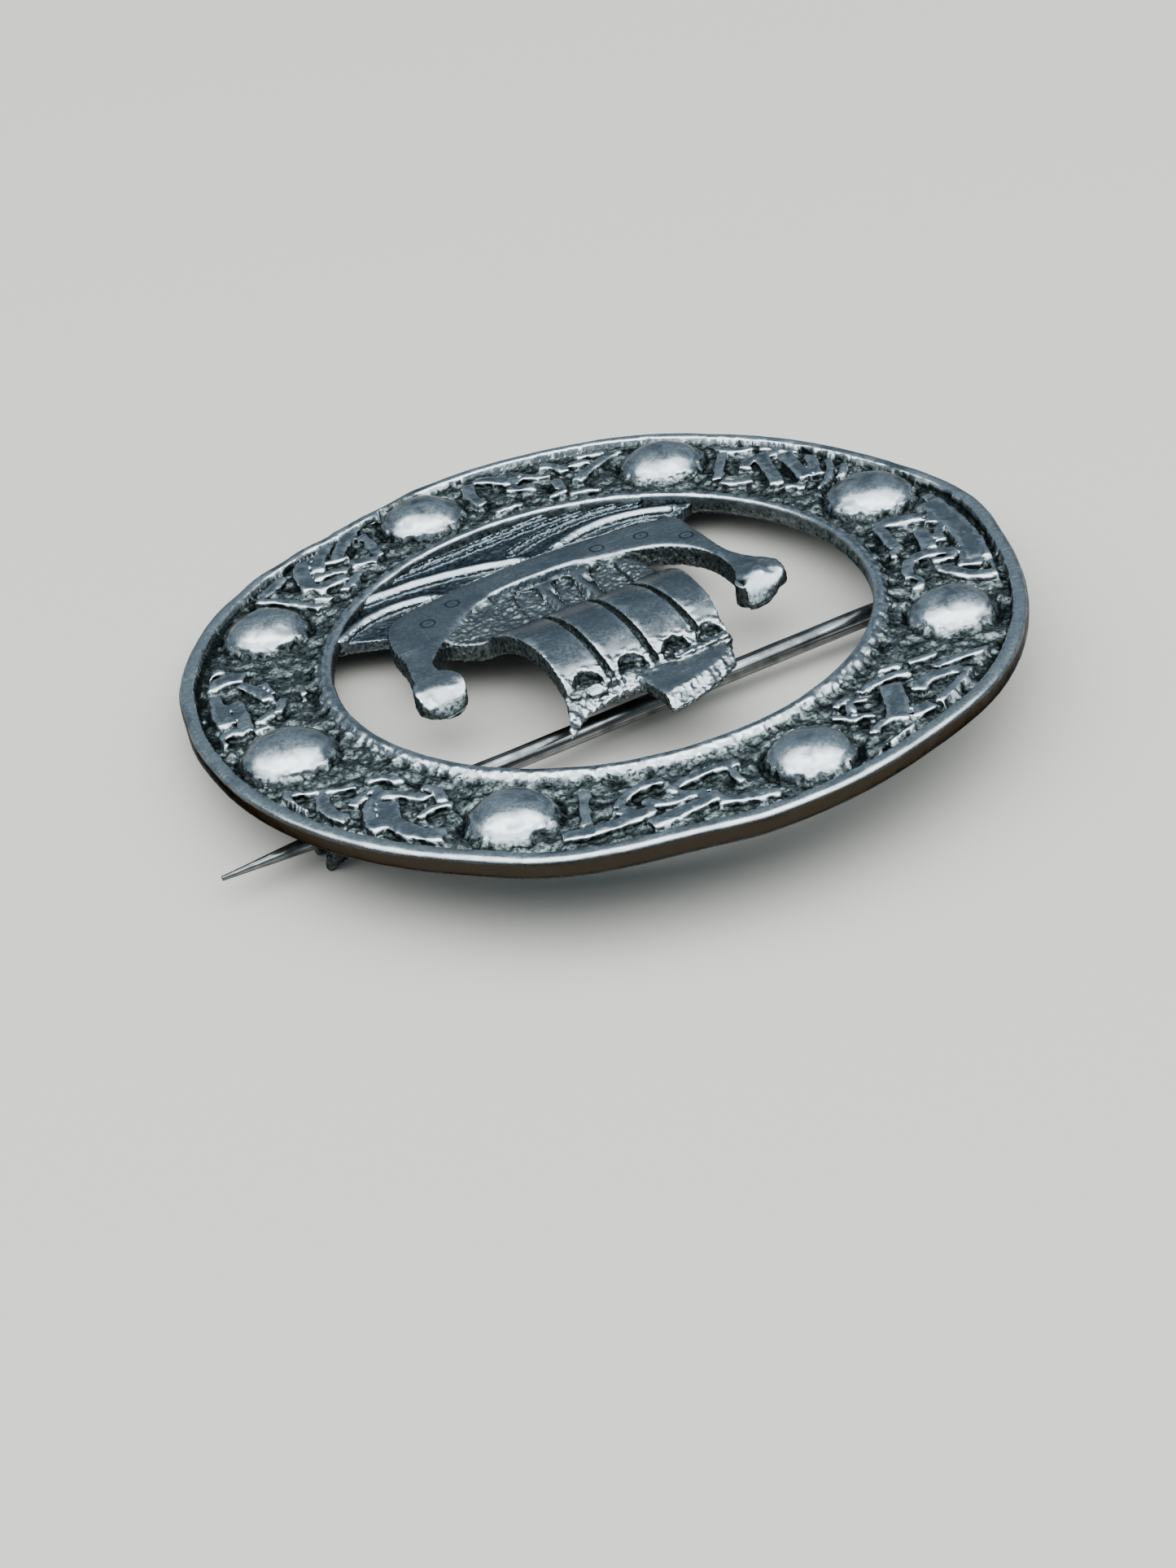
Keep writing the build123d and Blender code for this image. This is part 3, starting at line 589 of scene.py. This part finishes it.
for v in ship.data.vertices:
    # The cut face goes on into the ring's metal, and the marks' dents are filled.
    reach = hypot(v.co.x, v.co.y)
    if reach > opening_radius - 0.04:
        v.co.x *= (opening_radius + 0.3) / reach
        v.co.y *= (opening_radius + 0.3) / reach
    if near_mark(v.co) and -0.15 < v.co.z < hull_top:
        v.co.z = hull_top
shape(ship, "REMESH", mode="VOXEL", voxel_size=0.05)
soften(ship, "all", everywhere, 0.5, 3)
facing_up = [v.normal.z for v in ship.data.vertices]
for v, up in zip(ship.data.vertices, facing_up):
    p = v.co
    if p.y < -5.9 and -0.6 < p.z < -0.01 and up > 0.2:
        p.z = sea_height(p.x, p.y)[0]
    elif p.y > 5.3:
        # The pennant falls off towards its hem, in steps on its tail.
        near = 0.8 if p.x < 1.15 else 1.0
        drop = pennant_drop * (1 - ramp(hem_at(p.x) - p.y, 0.0, near)) ** 1.4
        if p.x > 1.7:
            drop += step_drop * (((0.6 * p.x + 0.8 * p.y) / step_length) % 1)
        p.z -= drop * ramp(p.z, -0.65, -0.1) * ramp(p.y, 5.3, 5.6)
    elif p.x > 7.2:
        # The two heads bow down towards their ends.
        p.z -= head_drop * ramp(p.y, -0.3, 1.5) ** 2.6 * ramp(p.z, -1.15, -0.1)
    elif p.x < -6.8:
        p.z -= head_drop * ramp(p.y, 0.5, 2.5) ** 2.6 * ramp(p.z, -1.15, -0.1)
    if -2.9 < p.x < 1.9 and -5.0 < p.y < -2.3 and -0.3 < p.z < 0 and up > 0.1:
        # Three niches with two ribs between them
        from_rib = min(abs(p.x + 1.4), abs(p.x - 0.5))
        p.z -= niche_depth * ramp(from_rib, 0.2, 0.36) * ramp(p.y, -5.0, -4.6)
    if -2.2 < p.y < 5.2 and up > 0.1:
        p.z -= seam_depth * (1 - ramp(from_seam(p), 0.05, 0.2))
    keel = p.y + 8.6 - 0.0175 * p.x * p.x
    if keel < keel_width and p.z > -0.02:
        p.z -= keel_drop * (1 - ramp(keel, -0.1, keel_width)) ** 1.4


def on_deck(p):
    """How much a point lies in the recess above the gunwale."""
    return ramp(-p.y, 2.3, 2.6) * ramp(p.y, -6.9, -6.6)


def ship_heads(p, n):
    return ramp(hypot(p.x, p.y - 1.2), 7.4, 8.6) * ramp(p.y, -0.6, 0.3)


def ship_foot(p, n):
    """The sail's foot, on its face alone."""
    return 1 - ramp(abs(p.y + 2.3), 0.3, 0.7) if p.z > -0.4 else 0.0


def ship_hem(p, n):
    return ramp(p.y, 5.6, 6.0) * (1 - ramp(hem_at(p.x) - p.y, 0.5, 0.8))


def ship_stipple(p, n):
    """The low floor of the recess, and its ends, away from the ribs."""
    ends = ramp(-p.z, 0.06, 0.1) * ramp(abs(p.x + 0.45), 1.5, 1.9)
    return on_deck(p) * max(ramp(-p.z, 0.16, 0.26), ends)


def ship_knobs(p, n):
    return ramp(hypot(p.x, p.y - 1.2), 7.4, 8.2) * ramp(p.y, -0.2, 0.6)


def ship_hollows(p, n):
    """The walls and, less, the back."""
    return ramp(-n.z, -0.75, -0.4) * 0.6 if p.z > -1.0 else 0.3


soften(ship, "sea", lambda p, n: ramp(-p.y, 6.2, 6.9) * ramp(-p.z, 0.0, 0.06), 0.7, 12)
soften(ship, "heads", ship_heads, 0.7, 90)
soften(ship, "pennant", lambda p, n: ramp(p.y, 5.9, 6.1) * 0.8, 0.6, 24)
soften(ship, "foot", ship_foot, 0.6, 30)
soften(ship, "gunwale", lambda p, n: ramp(-p.y, 2.5, 3.2) * ramp(p.z, -0.3, -0.15), 0.6, 80)
roughen(ship, "hem", ship_hem, 0.3, 0.2)
soften(ship, "deck", lambda p, n: on_deck(p) * ramp(-p.z, 0.04, 0.08), 0.6, 14)
roughen(ship, "stipple", ship_stipple, 0.22, 0.16)
roughen(ship, "head", lambda p, n: ramp(p.y, 4.2, 4.7) * ramp(-p.y, -6.3, -5.8), 0.4, 0.26)
roughen(ship, "knobs", ship_knobs, 0.8, 0.3, 1)
roughen(ship, "hollows", ship_hollows, 0.18, 0.14)
roughen(ship, "sea_grit", lambda p, n: ramp(-p.y, 6.2, 6.6) * ramp(-p.z, 0.15, 0.35), 0.2, 0.12)
roughen(ship, "soft", everywhere, 1.6, 0.1, 1)
thin(ship, most_triangles)
keep_wear_and_shading(ship, ship_clean_and_shadow, painted_shade_rule=ship_painted_shade)
finish(ship, silver)
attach(ship, "brooch")
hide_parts("brooch_casting")

# Pin
# The pin is a drawn silver wire with an eye at its root, hung on a rivet between the ears. Fine lines
# from the draw plate run along it.
pin = from_cad("brooch_pin", "pin")
shape(pin, "REMESH", mode="VOXEL", voxel_size=0.05)
soften(pin, "all", everywhere, 0.5, 4)
roughen(pin, "all", None, 2.5, 0.03, 1)
thin(pin, 60000)

wire = bpy.data.materials.new("pin_silver")
wire.use_nodes = True
tree = wire.node_tree
shader = tree.nodes["Principled BSDF"]
place = tree.nodes.new("ShaderNodeTexCoord").outputs["Object"]
drawn = stretched(tree, 0.01)
line = spread(tree, grain(tree, 0.08, 2.0, drawn), 0.35, 0.7)
tarnish = spread(tree, grain(tree, 1.2), 0.4, 0.65)
tone = blend(tree, line, (0.07, 0.074, 0.073, 1), (0.3, 0.31, 0.31, 1))
tone = blend(tree, tarnish, tone, (0.06, 0.062, 0.06, 1))
tree.links.new(tone, shader.inputs["Base Color"])
tree.links.new(spread(tree, line, 0.0, 1.0, 0.16, 0.3), shader.inputs["Roughness"])
shader.inputs["Metallic"].default_value = 1.0
bump = put(tree, "Bump", {"Strength": 0.1, "Distance": 0.00002, "Height": grain(tree, 0.08, 2.0, drawn)})
tree.links.new(bump.outputs["Normal"], shader.inputs["Normal"])

finish(pin, wire)
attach(pin, "pin")
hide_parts("brooch_pin")

# Rivet
# The rivet is a short piece of the same silver wire, hammered down over the ears at both ends.
rivet = from_cad("hinge_rivet", "rivet")
shape(rivet, "REMESH", mode="VOXEL", voxel_size=0.04)
soften(rivet, "all", everywhere, 0.5, 10)
roughen(rivet, "all", None, 0.5, 0.03, 1)
thin(rivet, 12000)
finish(rivet, wire)
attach(rivet, "brooch")
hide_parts("hinge_rivet")

# Floor, lights and surroundings
# A plain pale floor, a soft bluish studio light above the brooch, and a dim blue room.
bpy.ops.mesh.primitive_plane_add(size=2.0, location=(0, 0, -0.00001))
floor = bpy.context.object
floor.name = "pale_floor"
pale = bpy.data.materials.new("pale_floor")
pale.use_nodes = True
pale.node_tree.nodes["Principled BSDF"].inputs["Base Color"].default_value = (0.33, 0.305, 0.27, 1)
pale.node_tree.nodes["Principled BSDF"].inputs["Roughness"].default_value = 0.8
floor.data.materials.append(pale)

# The softbox is brighter in its middle, so it holds a smaller light.
for name, height, energy, length, width in (
    ("softbox", 0.5, 20.0, 1.8, 0.86),
    ("softbox_middle", 0.49, 7.0, 1.1, 0.5),
):
    bpy.ops.object.light_add(type="AREA", location=(0.05, 0.11, height), rotation=(0, 0, radians(-25)))
    lamp = bpy.context.object
    lamp.name = name
    lamp.data.shape = "RECTANGLE"
    lamp.data.energy = energy
    lamp.data.color = (0.9, 0.97, 1.0)
    lamp.data.size = length
    lamp.data.size_y = width

world = bpy.data.worlds.new("studio")
world.use_nodes = True
world.node_tree.nodes["Background"].inputs["Color"].default_value = (0.32, 0.45, 0.56, 1)
world.node_tree.nodes["Background"].inputs["Strength"].default_value = 0.93
bpy.context.scene.world = world
